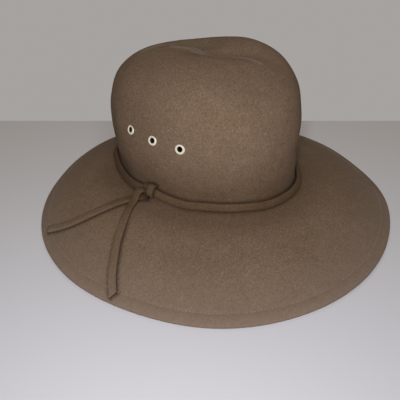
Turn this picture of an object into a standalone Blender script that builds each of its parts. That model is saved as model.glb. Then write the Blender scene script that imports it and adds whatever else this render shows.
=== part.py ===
"""A wide-brimmed wool felt hat with a knotted felt tie and three metal eyelets.

The hat stands on its brim edge. +Z is up, the wearer faces -Y, and the origin is on the
surface that the hat rests on, under the middle of the brim. Units are metres.
"""

from collections import namedtuple

import bmesh
import bpy
import numpy as np
from mathutils import Vector
from mathutils.bvhtree import BVHTree

# Felt body: the driving dimensions
HEAD_LENGTH = 0.1970  # inside the crown at the tie line, front to back
HEAD_WIDTH = 0.1620  # inside the crown at the tie line, side to side
HEAD_SETBACK = 0.0145  # the crown's middle lies this far behind the brim's middle
HEAD_ASIDE = 0.0030  # and this far to the wearer's left of it
FELT = 0.0022  # one thickness of blocked felt
CROWN_HEIGHT = 0.1190  # from the tie line to the top of the crown
BRIM_LENGTH = 0.3725  # over the edge, front to back
BRIM_BREADTH = 0.3690  # over the edge, side to side
BRIM_DROP = 0.0372  # from the tie line down to the surface that the hat rests on
HEM_WIDTH = 0.0090  # edge folded under and stitched down
EDGE_FLATTEN = 0.0006  # how far the folded edge is pressed flat where it rests

# Tie: one strip of folded felt, wound round the crown, knotted once and left with two tails
TIE_WIDTH = 0.0073
TIE_THICKNESS = 0.0034
TIE_ROUNDING = 0.0011  # of the strip's folded edges
TIE_LEAN = 28.0  # degrees that its face leans back against the crown
SLACK_FALL = 0.2  # how much lower the band lies for each step that it hangs off the crown
KNOT_AZIMUTH = 182.7  # on the wearer's right
KNOT_LENGTH = 0.0125  # along the strip
KNOT_HEIGHT = 0.0120
KNOT_DEPTH = 0.0070

# Eyelets: three in a row above the knot, each drawn from sheet metal and rolled over inside
EYELETS = 3
EYELET_AZIMUTH = 185.0  # the middle one
EYELET_PITCH = 0.0278  # along the crown wall
EYELET_RISE = 0.0600  # the middle one, above the tie line
EYELET_SLANT = 0.0014  # how much lower each one sits than its neighbour towards the back
EYELET_FLANGE = 0.0094  # outside diameter of the face
EYELET_BACK = 0.0082  # outside diameter of the rolled end inside the crown
EYELET_BARREL = 0.0060
EYELET_HOLE = 0.0047
EYELET_SHEET = 0.0006
EYELET_CROWNING = 0.0004  # how far the face's ring stands up between its edges

GAP = 0.0003  # left between pieces that touch

# Mesh steps
COLUMNS = 60
CROWN_ROWS = 22
BRIM_ROWS = 9
CROWN_CROWDING = 1.15  # powers that crowd the rows towards the tie line
BRIM_CROWDING = 1.25
FOLD_STEPS = 6
BAND_STEPS = 52
TAIL_STEPS = 15
EYELET_SIDES = 16
SHARP_ANGLE = 40.0  # degrees above which an eyelet's edge is shaded sharp
CUTTER_REACH = 3 * FELT  # how far a hole's cutter reaches in and out of the wall
SLOPE_STEP = 0.002  # share of a turn or station over which a slope is measured
LOOKUP_STEPS = 400  # at which a profile is read to find a station
SETTLE_STEPS = 40
TAUT_ROUNDS = 12

# Colours as linear RGB, with roughness and metallic
FELT_LOOK = ((0.150, 0.100, 0.066), 0.95, 0.0)
TIE_LOOK = ((0.138, 0.092, 0.061), 0.95, 0.0)
EYELET_LOOK = ((0.720, 0.690, 0.580), 0.38, 0.0)

# The felt from the top of the crown to the brim's edge. across is a share of the head oval,
# outward a share of the way from the oval to the edge, and up a share of CROWN_HEIGHT
# where it is positive and of BRIM_DROP where it is negative.
Fold = namedtuple("Fold", "across outward up")
CROWN_PROFILE = {
    "tip centre": Fold(0.000, 0.00, 1.000),
    "tip": Fold(0.300, 0.00, 0.994),
    "tip edge": Fold(0.560, 0.00, 0.955),
    "shoulder top": Fold(0.780, 0.00, 0.880),
    "shoulder": Fold(0.925, 0.00, 0.765),
    "upper wall": Fold(0.995, 0.00, 0.610),
    "bulge": Fold(1.025, 0.00, 0.420),
    "lower wall": Fold(1.022, 0.00, 0.230),
    "tuck": Fold(1.006, 0.00, 0.080),
    "tie line": Fold(1.000, 0.01, 0.000),
}
BRIM_PROFILE = {
    "tie line": Fold(1.000, 0.01, 0.000),
    "break": Fold(1.000, 0.06, -0.060),
    "brim top": Fold(1.000, 0.25, -0.180),
    "brim middle": Fold(1.000, 0.50, -0.420),
    "brim lower": Fold(1.000, 0.75, -0.700),
    "brim edge": Fold(1.000, 1.00, -1.000),
}

# How far the brim's edge stands outside its plain oval, as a share of its radius.
Edge = namedtuple("Edge", "azimuth out")
EDGE = (
    Edge(0, 0.002),
    Edge(30, 0.002),
    Edge(60, -0.002),
    Edge(88, -0.006),
    Edge(104, -0.024),
    Edge(118, -0.034),
    Edge(135, -0.023),
    Edge(155, -0.006),
    Edge(172, 0.000),
    Edge(197, -0.005),
    Edge(219, 0.008),
    Edge(240, 0.004),
    Edge(262, 0.000),
    Edge(285, 0.000),
    Edge(308, 0.012),
    Edge(328, -0.005),
    Edge(345, 0.004),
)

# Dents pressed into the felt, and bulges where deep is negative. station runs from 0 at the
# crown's top to 1 at the tie line and 2 at the brim's edge, tilt is the angle of the dent's
# long direction from the level, and long, wide and deep are shares of CROWN_HEIGHT.
Dent = namedtuple("Dent", "azimuth station tilt long wide deep")
DENTS = {
    "crease rear": Dent(54, 0.15, -44, 0.30, 0.11, 0.060),
    "crease front": Dent(-64, 0.11, 94, 0.34, 0.12, 0.060),
    "far ridge": Dent(-33, 0.30, 35, 0.46, 0.25, -0.080),
    "far flat": Dent(-50, 0.62, 0, 0.50, 0.30, 0.022),
    "left pinch": Dent(-50, 0.80, 0, 0.80, 0.13, 0.048),
    "left notch": Dent(-50, 0.83, 0, 0.30, 0.06, 0.014),
    "rear fold": Dent(139, 0.84, 72, 0.30, 0.11, 0.024),
    "rear pinch": Dent(150, 0.97, 0, 0.20, 0.12, 0.030),
    "front tuck": Dent(219, 0.95, 0, 0.12, 0.06, 0.014),
}

# Where each tail lies on the brim, from the knot to its cut end. outward is the share of the
# way over the brim, and lift how far the strip stands off what is under it, as a share of
# TIE_THICKNESS. Each slant is how far one corner of a tail's cut end leads the other, as a
# share of TIE_WIDTH.
Lay = namedtuple("Lay", "azimuth outward lift")
SIDE_TAIL = (
    Lay(176.0, 0.105, 0.1),
    Lay(174.3, 0.145, 0.0),
    Lay(171.5, 0.215, 0.0),
    Lay(167.6, 0.345, 0.0),
    Lay(164.0, 0.500, 0.0),
    Lay(161.5, 0.630, 0.0),
    Lay(158.5, 0.770, 0.0),
    Lay(154.2, 0.932, 0.0),
)
SIDE_SLANT = 0.0
FRONT_TAIL = (
    Lay(178.6, 0.085, 2.0),
    Lay(178.4, 0.135, 1.8),
    Lay(178.2, 0.200, 1.3),
    Lay(178.5, 0.292, 0.7),
    Lay(180.3, 0.427, 0.2),
    Lay(182.4, 0.560, 0.0),
    Lay(184.8, 0.682, 0.0),
    Lay(187.0, 0.803, 0.0),
    Lay(189.2, 0.904, 0.0),
    Lay(190.7, 0.960, 0.0),
)
FRONT_SLANT = -0.5

# How far the band hangs off the crown over the wearer's left ear, as a share of
# TIE_THICKNESS.
Slack = namedtuple("Slack", "azimuth off")
TIE_SLACK = (
    Slack(20, 0.00),
    Slack(60, 0.00),
    Slack(200, 0.00),
    Slack(225, 0.12),
    Slack(262, 0.20),
    Slack(292, 0.25),
    Slack(308, 0.50),
    Slack(325, 1.60),
    Slack(340, 2.20),
    Slack(355, 1.20),
)

# How far the knot draws the strip up the crown, as a share of TIE_WIDTH.
Rise = namedtuple("Rise", "azimuth rise")
TIE_RISE = (
    Rise(60, 0.00),
    Rise(150, 0.00),
    Rise(168, 0.06),
    Rise(178, 0.36),
    Rise(184, 0.46),
    Rise(190, 0.40),
    Rise(199, 0.22),
    Rise(212, 0.04),
    Rise(230, 0.00),
    Rise(320, 0.00),
)

# The knot's sections. along is a share of half its length, swell a share of its full section.
Knot = namedtuple("Knot", "along swell")
KNOT = (
    Knot(-1.00, 0.70),
    Knot(-0.80, 0.92),
    Knot(-0.35, 1.00),
    Knot(0.35, 1.00),
    Knot(0.80, 0.92),
    Knot(1.00, 0.70),
)

UP = np.array([0.0, 0.0, 1.0])


def smooth(rows, along, period=None):
    """A smooth curve through a table's rows, read at any value of along by column name."""
    knots, values = np.array(along, float), np.array(rows, float)
    if period:
        knots = np.concatenate([knots[-2:] - period, knots, knots[:2] + period])
        values = np.vstack([values[-2:], values, values[:2]])
    slopes = np.gradient(values, knots, axis=0)

    def curve(at):
        at = np.asarray(at, float)
        if period:
            at = np.mod(at - knots[2], period) + knots[2]
        i = np.clip(np.searchsorted(knots, at, side="right") - 1, 0, len(knots) - 2)
        width = (knots[i + 1] - knots[i])[..., None]
        u = (at - knots[i])[..., None] / width
        start = values[i] * (1 + 2 * u) + slopes[i] * width * u
        end = values[i + 1] * (3 - 2 * u) - slopes[i + 1] * width * (1 - u)
        read = start * (1 - u) ** 2 + end * u**2
        return type(rows[0])(*np.moveaxis(read, -1, 0))

    return curve


def profile_curve(table):
    """A profile table as a smooth curve whose parameter is its share of the way along."""
    rows = list(table.values())
    reach = [row.across * HEAD_LENGTH / 2 + row.outward * (BRIM_LENGTH - HEAD_LENGTH) / 2 for row in rows]
    height = [row.up * (CROWN_HEIGHT if row.up > 0 else BRIM_DROP) for row in rows]
    lengths = np.hypot(np.diff(reach), np.diff(height))
    along = np.concatenate([[0.0], np.cumsum(lengths)])
    return smooth(rows, along / along[-1])


CROWN_CURVE = profile_curve(CROWN_PROFILE)
BRIM_CURVE = profile_curve(BRIM_PROFILE)
EDGE_CURVE = smooth(EDGE, [row.azimuth for row in EDGE], period=360)
SLACK_CURVE = smooth(TIE_SLACK, [row.azimuth for row in TIE_SLACK], period=360)
RISE_CURVE = smooth(TIE_RISE, [row.azimuth for row in TIE_RISE], period=360)
EDGE_TOP = 2 * FELT - EDGE_FLATTEN  # where the folded edge begins to turn under


def station_of(curve, column, share):
    """Where along a profile curve the named column reaches a share."""
    steps = np.linspace(0, 1, LOOKUP_STEPS)
    values = getattr(curve(steps), column)
    if values[0] > values[-1]:
        steps, values = steps[::-1], values[::-1]
    return np.interp(share, values, steps)


def plain_felt(turn, station):
    """Outside of the felt before it is dented, at a turn in radians and a station."""
    turn, station = np.broadcast_arrays(np.asarray(turn, float), np.asarray(station, float))
    crown, brim = CROWN_CURVE(np.clip(station, 0, 1)), BRIM_CURVE(np.clip(station - 1, 0, 1))
    across, outward, up = np.where(station <= 1, crown, brim)
    way = np.stack([np.cos(turn), np.sin(turn)], -1)
    head = across[..., None] * way * (np.array([HEAD_WIDTH, HEAD_LENGTH]) / 2 + FELT)
    head = head + np.array([HEAD_ASIDE, HEAD_SETBACK])
    out = 1 + EDGE_CURVE(np.degrees(turn)).out[..., None]
    edge = out * way * (np.array([BRIM_BREADTH, BRIM_LENGTH]) / 2 - FELT)
    plan = head * (1 - outward[..., None]) + edge * outward[..., None]
    height = BRIM_DROP + np.where(up > 0, up * CROWN_HEIGHT, up * (BRIM_DROP - EDGE_TOP))
    return np.concatenate([plan, height[..., None]], -1)


def normals(surface, turn, station):
    """Outward unit normals of a surface function, and the directions round and down it."""
    turn, station = np.broadcast_arrays(np.asarray(turn, float), np.asarray(station, float))
    station = np.maximum(station, SLOPE_STEP)
    down = surface(turn, np.minimum(station + SLOPE_STEP, 2)) - surface(turn, station - SLOPE_STEP)
    level = surface(turn + SLOPE_STEP, station) - surface(turn - SLOPE_STEP, station)
    down /= np.linalg.norm(down, axis=-1, keepdims=True)
    level /= np.linalg.norm(level, axis=-1, keepdims=True)
    out = np.cross(down, level)
    return out / np.linalg.norm(out, axis=-1, keepdims=True), level, down


def felt(turn, station):
    """Outside of the felt with its dents."""
    points = plain_felt(turn, station)
    push = np.zeros(points.shape[:-1])
    for dent in DENTS.values():
        at = np.radians(dent.azimuth)
        _, level, down = normals(plain_felt, at, dent.station)
        axis = level * np.cos(np.radians(dent.tilt)) - down * np.sin(np.radians(dent.tilt))
        offset = points - plain_felt(at, dent.station)
        along = offset @ axis
        aside = np.linalg.norm(offset - along[..., None] * axis, axis=-1)
        far = np.hypot(along / (dent.long * CROWN_HEIGHT), aside / (dent.wide * CROWN_HEIGHT))
        push += dent.deep * CROWN_HEIGHT * np.exp(-(far**2))
    out, _, _ = normals(plain_felt, turn, station)
    return points - push[..., None] * out


def material(name, look):
    colour, roughness, metallic = look
    made = bpy.data.materials.new(name)
    made.use_nodes = True
    shader = made.node_tree.nodes["Principled BSDF"]
    shader.inputs["Base Color"].default_value = (*colour, 1.0)
    shader.inputs["Roughness"].default_value = roughness
    shader.inputs["Metallic"].default_value = metallic
    return made


def loft(rings, start=None, end=None, closed=False):
    """A skin of triangles through rings of points, with a point or a flat face at each end."""
    builder = bmesh.new()
    loops = [[builder.verts.new(point) for point in ring] for ring in rings]
    count = len(loops[0])
    for one, two in zip(loops, loops[1:] + loops[:1] if closed else loops[1:]):
        for i in range(count):
            j = (i + 1) % count
            builder.faces.new((one[i], one[j], two[j]))
            builder.faces.new((one[i], two[j], two[i]))
    if not closed:
        for loop, pole in ((loops[0], start), (loops[-1], end)):
            if pole is None:
                builder.faces.new(loop)
            else:
                tip = builder.verts.new(pole)
                for i in range(count):
                    builder.faces.new((loop[i], loop[(i + 1) % count], tip))
    bmesh.ops.recalc_face_normals(builder, faces=builder.faces[:])
    return builder


def add_object(name, builder, look):
    """A finished mesh as a smooth-shaded object with a material of its own."""
    mesh = bpy.data.meshes.new(name)
    builder.to_mesh(mesh)
    builder.free()
    mesh.shade_smooth()
    mesh.materials.append(material(name, look))
    piece = bpy.data.objects.new(name, mesh)
    bpy.context.scene.collection.objects.link(piece)
    return piece


def skin_tree(builder, vertices=None):
    """The first vertices' part of a mesh, to measure clearances from."""
    builder.verts.ensure_lookup_table()
    builder.verts.index_update()
    limit = vertices or len(builder.verts)
    faces = [[vertex.index for vertex in face.verts] for face in builder.faces]
    faces = [face for face in faces if max(face) < limit]
    return BVHTree.FromPolygons([vertex.co.copy() for vertex in builder.verts], faces)


def build_felt_body():
    """Crown and brim blocked from one piece of felt, with the brim's edge folded under."""
    turn = np.arange(COLUMNS) * 2 * np.pi / COLUMNS
    brim_width = np.linalg.norm(plain_felt(turn, 2.0) - plain_felt(turn, 1.0), axis=-1)
    hem = 2 - HEM_WIDTH / brim_width
    crown_steps = np.arange(1, CROWN_ROWS + 1) / CROWN_ROWS
    brim_steps = np.arange(1, BRIM_ROWS + 1) / BRIM_ROWS
    stations = [np.full(COLUMNS, at) for at in 1 - (1 - crown_steps) ** CROWN_CROWDING]
    stations += [1 + share * (hem - 1) for share in brim_steps**BRIM_CROWDING]
    outside = [felt(turn, at) for at in stations]
    inside = [point - FELT * normals(felt, turn, at)[0] for point, at in zip(outside, stations)]

    edge = felt(turn, 2.0)
    out, _, down = normals(felt, turn, 2.0 - SLOPE_STEP)
    middle = edge - FELT * out
    fold = [
        middle + FELT * (np.cos(angle) * out + np.sin(angle) * down)
        for angle in np.linspace(0, np.pi, FOLD_STEPS + 1)
    ]
    hem_end = outside[-1] - 2 * FELT * normals(felt, turn, hem)[0]
    rings = outside + fold + [hem_end] + inside[::-1]
    for ring in rings:
        ring[:, 2] = np.maximum(ring[:, 2], 0.0)
    top = felt(0.0, 0.0)
    builder = loft(rings, top, top - FELT * UP)
    skin = skin_tree(builder, COLUMNS * (len(outside) + 2))
    return add_object("felt_body", builder, FELT_LOOK), skin


def strip_section(centre, across, up, width, thickness):
    """The strip's cross-section: a flat oblong with its corners rounded off."""
    half_width, half_thickness = width / 2, thickness / 2
    bevel = TIE_ROUNDING * thickness / TIE_THICKNESS
    corners = (
        (half_width, half_thickness - bevel),
        (half_width - bevel, half_thickness),
        (bevel - half_width, half_thickness),
        (-half_width, half_thickness - bevel),
        (-half_width, bevel - half_thickness),
        (bevel - half_width, -half_thickness),
        (half_width - bevel, -half_thickness),
        (half_width, bevel - half_thickness),
    )
    return np.array([centre + across * x + up * y for x, y in corners])


def deepest(points, skins):
    """The most that any of the points lacks of the gap to the skins, and the way out."""
    worst, way = -1.0, None
    for skin in skins:
        for point in points:
            place, out, _, distance = skin.find_nearest(Vector(point))
            inside = (Vector(point) - place).dot(out) < 0
            lack = GAP + (distance if inside else -distance)
            if lack > worst:
                worst, way = lack, out
    return worst, np.array(way)


def tie_line(turn):
    """A point of the tie line and the direction out of the crown there."""
    shape = np.array([HEAD_WIDTH, HEAD_LENGTH]) / 2 + FELT
    way = np.array([np.cos(turn), np.sin(turn)])
    out = np.array([*(way / shape), 0.0])
    return np.array([*(way * shape + [HEAD_ASIDE, HEAD_SETBACK]), BRIM_DROP]), out / np.linalg.norm(out)


def turn_for(distance, azimuth):
    """The change of turn that moves a point this far round the tie line."""
    shape = np.array([HEAD_LENGTH, HEAD_WIDTH]) / 2 + FELT
    way = np.array([np.cos(np.radians(azimuth)), np.sin(np.radians(azimuth))])
    return distance / np.linalg.norm(way * shape)


def corner_section(turn, place, width, thickness):
    """A section that leans back on the crown, at a place out from the tie line and above it."""
    middle, out = tie_line(turn)
    lean = np.radians(TIE_LEAN)
    across = np.cos(lean) * UP - np.sin(lean) * out
    face = np.cos(lean) * out + np.sin(lean) * UP
    return strip_section(middle + place[0] * out + place[1] * UP, across, face, width, thickness)


def seated_in_corner(turn, width, thickness, skin):
    """Where a strip rests between crown and brim once the knot has drawn it up."""
    _, out = tie_line(turn)
    rise = RISE_CURVE(np.degrees(turn)).rise * TIE_WIDTH
    slack = max(SLACK_CURVE(np.degrees(turn)).off, 0.0) * TIE_THICKNESS
    place = np.zeros(2)
    for step in ([0.0, 0.0], [0.0, rise], [slack, -SLACK_FALL * slack]):
        place += step
        for _ in range(SETTLE_STEPS):
            lack, way = deepest(corner_section(turn, place, width, thickness), [skin])
            place += max(lack, 0.0) * np.array([way @ out, way @ UP])
    return place


def taut(places):
    """A strip's places, drawn tight so that it bridges every hollow."""
    for _ in range(TAUT_ROUNDS):
        places[1:-1] = np.maximum(places[1:-1], (places[:-2] + places[2:]) / 2)
    return places


def build_tie_band(skin):
    """The strip round the foot of the crown, from one side of the knot to the other."""
    knot = np.radians(KNOT_AZIMUTH)
    reach = turn_for(KNOT_LENGTH / 2 + GAP, KNOT_AZIMUTH)
    turns = np.linspace(knot + reach, knot + 2 * np.pi - reach, BAND_STEPS + 1)
    places = taut(np.array([seated_in_corner(turn, TIE_WIDTH, TIE_THICKNESS, skin) for turn in turns]))
    rings = [corner_section(turn, place, TIE_WIDTH, TIE_THICKNESS) for turn, place in zip(turns, places)]
    add_object("tie_band", loft(rings), TIE_LOOK)


def build_tie_knot(skin):
    """The knot, a swelling of the strip that lies in the same corner, and its skin."""
    knot = np.radians(KNOT_AZIMUTH)
    half = turn_for(KNOT_LENGTH / 2, KNOT_AZIMUTH)
    place = seated_in_corner(knot, KNOT_HEIGHT, KNOT_DEPTH, skin)
    rings = [
        corner_section(knot + row.along * half, place, KNOT_HEIGHT * row.swell, KNOT_DEPTH * row.swell)
        for row in KNOT
    ]
    builder = loft(rings)
    skin = skin_tree(builder)
    add_object("tie_knot", builder, TIE_LOOK)
    return skin


def build_tail(name, lay, slant, under, beside):
    """A loose end of the strip, laid along its route on the skins under it, and its skin."""
    rows = np.arange(len(lay))
    route = smooth(lay, rows)(np.linspace(0, rows[-1], TAIL_STEPS + 1))
    turns = np.radians(route.azimuth)
    stations = 1 + station_of(BRIM_CURVE, "outward", route.outward)
    ups = normals(felt, turns, stations)[0]
    centres = felt(turns, stations) + ups * TIE_THICKNESS / 2
    ways = np.gradient(centres, axis=0)
    ways /= np.linalg.norm(ways, axis=1, keepdims=True)
    sides = np.cross(ups, ways)
    lifts = np.zeros(len(centres))
    for extra, skins in ((0.0, under), (route.lift * TIE_THICKNESS, under + beside)):
        lifts += extra
        for i, (centre, side, up) in enumerate(zip(centres, sides, ups)):
            for _ in range(SETTLE_STEPS):
                section = strip_section(centre + up * lifts[i], side, up, TIE_WIDTH, TIE_THICKNESS)
                lifts[i] += max(deepest(section, skins)[0], 0.0)
        taut(lifts)
    centres += ups * lifts[:, None]
    rings = [strip_section(*place, TIE_WIDTH, TIE_THICKNESS) for place in zip(centres, sides, ups)]
    lead = (rings[-1] - centres[-1]) @ sides[-1] * slant
    rings[-1] = rings[-1] + lead[:, None] * ways[-1]
    builder = loft(rings)
    skin = skin_tree(builder)
    add_object(name, builder, TIE_LOOK)
    return skin


def build_eyelet(number, body, skin):
    """One eyelet set through the crown wall, and the hole that is cut for it."""
    order = number - (EYELETS + 1) / 2
    turn = np.radians(EYELET_AZIMUTH) + order * turn_for(EYELET_PITCH, EYELET_AZIMUTH)
    station = station_of(CROWN_CURVE, "up", (EYELET_RISE - order * EYELET_SLANT) / CROWN_HEIGHT)
    place, _, _, _ = skin.find_nearest(Vector(felt(turn, station)))
    out = Vector(normals(felt, turn, station)[0])
    turned = out.to_track_quat("Z", "Y").to_matrix().to_4x4()
    turned.translation = place

    face, back = GAP + EYELET_SHEET, -FELT - GAP - EYELET_SHEET
    hole, barrel = EYELET_HOLE / 2, EYELET_BARREL / 2
    flange, rolled = EYELET_FLANGE / 2, EYELET_BACK / 2
    profile = (
        (hole, face - EYELET_CROWNING),
        (barrel, face + EYELET_CROWNING),
        ((barrel + flange) / 2, face + EYELET_CROWNING),
        (flange, face - EYELET_CROWNING),
        (flange, GAP),
        (barrel, GAP),
        (barrel, -FELT - GAP),
        (rolled, -FELT - GAP),
        (rolled, back),
        (hole, back),
    )
    rings = []
    for angle in np.arange(EYELET_SIDES) * 2 * np.pi / EYELET_SIDES:
        rings.append([turned @ Vector((r * np.cos(angle), r * np.sin(angle), z)) for r, z in profile])
    eyelet = add_object(f"eyelet_{number}", loft(rings, closed=True), EYELET_LOOK)
    eyelet.data.set_sharp_from_angle(angle=np.radians(SHARP_ANGLE))

    builder = bmesh.new()
    bmesh.ops.create_cone(
        builder,
        cap_ends=True,
        segments=EYELET_SIDES,
        radius1=barrel + GAP,
        radius2=barrel + GAP,
        depth=2 * CUTTER_REACH,
    )
    builder.transform(turned)
    mesh = bpy.data.meshes.new(f"hole_{number}")
    builder.to_mesh(mesh)
    builder.free()
    cutter = bpy.data.objects.new(f"hole_{number}", mesh)
    bpy.context.scene.collection.objects.link(cutter)
    cutter.hide_render = True
    cutter.display_type = "WIRE"
    cut = body.modifiers.new(f"hole_{number}", "BOOLEAN")
    cut.operation = "DIFFERENCE"
    cut.solver = "EXACT"
    cut.object = cutter


for old in list(bpy.data.objects):
    bpy.data.objects.remove(old, do_unlink=True)

body, body_skin = build_felt_body()
build_tie_band(body_skin)
knot_skin = build_tie_knot(body_skin)
side_skin = build_tail("tie_tail_side", SIDE_TAIL, SIDE_SLANT, [body_skin], [knot_skin])
build_tail("tie_tail_front", FRONT_TAIL, FRONT_SLANT, [body_skin, side_skin], [knot_skin])
for number in range(1, EYELETS + 1):
    build_eyelet(number, body, body_skin)
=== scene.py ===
from collections import namedtuple

import bmesh
import bpy
import numpy as np
from mathutils import Matrix, Vector, noise
from mathutils.bvhtree import BVHTree


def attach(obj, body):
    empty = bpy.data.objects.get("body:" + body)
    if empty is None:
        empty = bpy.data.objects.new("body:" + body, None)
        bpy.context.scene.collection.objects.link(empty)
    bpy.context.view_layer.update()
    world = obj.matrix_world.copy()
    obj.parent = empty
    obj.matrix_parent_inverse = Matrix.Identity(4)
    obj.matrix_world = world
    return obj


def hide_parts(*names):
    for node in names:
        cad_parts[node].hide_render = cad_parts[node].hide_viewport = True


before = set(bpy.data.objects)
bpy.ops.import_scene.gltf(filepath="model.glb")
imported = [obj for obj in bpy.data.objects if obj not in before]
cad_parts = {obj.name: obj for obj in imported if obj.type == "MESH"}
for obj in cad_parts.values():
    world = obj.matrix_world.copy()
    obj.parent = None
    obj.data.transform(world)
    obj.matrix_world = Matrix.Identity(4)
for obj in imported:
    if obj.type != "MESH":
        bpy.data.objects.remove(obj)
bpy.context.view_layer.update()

# The felt body is crown and brim in one piece of blocked wool felt, 2.2 mm thick, napped and
# mottled taupe brown. Its edge is folded under for 9 mm and stitched down from above.

HEAD_LENGTH = 0.1970  # inside the crown at the tie line
HEAD_WIDTH = 0.1620
HEAD_SETBACK = 0.0145  # the crown's middle from the brim's middle, to the back
HEAD_ASIDE = 0.0030  # and to the wearer's left
FELT = 0.0022
CROWN_HEIGHT = 0.1190
BRIM_LENGTH = 0.3725
BRIM_BREADTH = 0.3690
BRIM_DROP = 0.0372
HEM_WIDTH = 0.0090
EDGE_FLATTEN = 0.0006  # how much the doubled edge is pressed flat
EDGE_TOP = 2 * FELT - EDGE_FLATTEN

# How finely the felt is drawn: columns round it, and rows down its outside and up its inside.
COLUMNS = 352
CROWN_ROWS = 104
BRIM_ROWS = 66
HEM_ROWS = 16
HEM_ROWS_FROM = 1.8  # hem widths from the edge, where the rows get closer
FOLD_STEPS = 10
INSIDE_BRIM_ROWS = 22
INSIDE_CROWN_ROWS = 28
UNDER_HEM_ROWS = (0.35, 0.70, 1.00)  # shares of the way from the edge to the hem's end
SLOPE_STEP = 0.002  # how far apart points are compared for a direction on the felt
LOOKUP_STEPS = 400

# across is a share of the head oval, outward a share of the way from it to the edge, and up a
# share of CROWN_HEIGHT where it is positive and of BRIM_DROP where it is negative.
Fold = namedtuple("Fold", "across outward up")
CROWN_PROFILE = {
    "tip centre": Fold(0.000, 0.00, 1.000),
    "tip": Fold(0.300, 0.00, 0.994),
    "tip edge": Fold(0.560, 0.00, 0.955),
    "shoulder top": Fold(0.780, 0.00, 0.880),
    "shoulder": Fold(0.925, 0.00, 0.765),
    "upper wall": Fold(0.995, 0.00, 0.610),
    "bulge": Fold(1.025, 0.00, 0.420),
    "lower wall": Fold(1.022, 0.00, 0.230),
    "tuck": Fold(1.006, 0.00, 0.080),
    "tie line": Fold(1.000, 0.01, 0.000),
}
BRIM_PROFILE = {
    "tie line": Fold(1.000, 0.01, 0.000),
    "break": Fold(1.000, 0.06, -0.060),
    "brim top": Fold(1.000, 0.25, -0.180),
    "brim middle": Fold(1.000, 0.50, -0.420),
    "brim lower": Fold(1.000, 0.75, -0.700),
    "brim edge": Fold(1.000, 1.00, -1.000),
}

# How far the edge stands outside its plain oval, as a share of its radius. Every azimuth is
# in degrees, from the wearer's left round by the back.
Edge = namedtuple("Edge", "azimuth out")
EDGE = (
    Edge(0, 0.002),
    Edge(30, 0.002),
    Edge(60, -0.002),
    Edge(88, -0.006),
    Edge(104, -0.024),
    Edge(118, -0.034),
    Edge(135, -0.023),
    Edge(155, -0.006),
    Edge(172, 0.000),
    Edge(197, -0.005),
    Edge(219, 0.008),
    Edge(240, 0.004),
    Edge(262, 0.000),
    Edge(285, 0.000),
    Edge(308, 0.012),
    Edge(328, -0.005),
    Edge(345, 0.004),
)

# Dents, and bulges where deep is negative, as shares of CROWN_HEIGHT. station runs from 0 at
# the crown's top to 1 at the tie line and 2 at the brim's edge, and tilt turns the long way
# of a dent up from level, in degrees.
Dent = namedtuple("Dent", "azimuth station tilt long wide deep")
DENTS = {
    "crease rear": Dent(54, 0.15, -44, 0.30, 0.11, 0.060),
    "crease front": Dent(-64, 0.11, 94, 0.34, 0.12, 0.060),
    "far ridge": Dent(-33, 0.30, 35, 0.46, 0.25, -0.080),
    "far flat": Dent(-50, 0.62, 0, 0.50, 0.30, 0.022),
    "left pinch": Dent(-50, 0.80, 0, 0.80, 0.13, 0.048),
    "left notch": Dent(-50, 0.925, 0, 0.42, 0.055, 0.066),
    "rear fold": Dent(139, 0.84, 72, 0.30, 0.11, 0.024),
    "rear pinch": Dent(150, 0.97, 0, 0.20, 0.12, 0.030),
    "front tuck": Dent(219, 0.95, 0, 0.12, 0.06, 0.014),
}

UNEVEN_SIZE = 0.030  # the felt's own slight waves
UNEVEN_DEPTH = 0.0005
GRAIN_SIZE = 0.006
GRAIN_DEPTH = 0.00008
SEAM_GROOVE = 0.00040  # how far the stitches pull the felt in
SEAM_GROOVE_WIDTH = 0.0011
HEM_PUFF = 0.00025  # how far the doubled edge stands up beside them
HEM_PUFF_MIDDLE = 0.45  # as shares of HEM_WIDTH
HEM_PUFF_WIDTH = 0.30


def smooth(rows, along, period=None):
    """A smooth curve through a table's rows, read at any value of along by column name."""
    knots, values = np.array(along, float), np.array(rows, float)
    if period:
        knots = np.concatenate([knots[-2:] - period, knots, knots[:2] + period])
        values = np.vstack([values[-2:], values, values[:2]])
    slopes = np.gradient(values, knots, axis=0)

    def curve(at):
        at = np.asarray(at, float)
        if period:
            at = np.mod(at - knots[2], period) + knots[2]
        i = np.clip(np.searchsorted(knots, at, side="right") - 1, 0, len(knots) - 2)
        width = (knots[i + 1] - knots[i])[..., None]
        u = (at - knots[i])[..., None] / width
        start = values[i] * (1 + 2 * u) + slopes[i] * width * u
        end = values[i + 1] * (3 - 2 * u) - slopes[i + 1] * width * (1 - u)
        read = start * (1 - u) ** 2 + end * u**2
        return type(rows[0])(*np.moveaxis(read, -1, 0))

    return curve


def profile_curve(table):
    """A profile table as a smooth curve whose parameter is its share of the way along."""
    rows = list(table.values())
    beyond = (BRIM_LENGTH - HEAD_LENGTH) / 2
    reach = [row.across * HEAD_LENGTH / 2 + row.outward * beyond for row in rows]
    height = [row.up * (CROWN_HEIGHT if row.up > 0 else BRIM_DROP) for row in rows]
    lengths = np.hypot(np.diff(reach), np.diff(height))
    along = np.concatenate([[0.0], np.cumsum(lengths)])
    return smooth(rows, along / along[-1])


CROWN_CURVE = profile_curve(CROWN_PROFILE)
BRIM_CURVE = profile_curve(BRIM_PROFILE)
EDGE_CURVE = smooth(EDGE, [row.azimuth for row in EDGE], period=360)


def station_of(curve, column, share):
    """Where along a profile curve the named column reaches a share."""
    steps = np.linspace(0, 1, LOOKUP_STEPS)
    values = getattr(curve(steps), column)
    if values[0] > values[-1]:
        steps, values = steps[::-1], values[::-1]
    return np.interp(share, values, steps)


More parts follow.
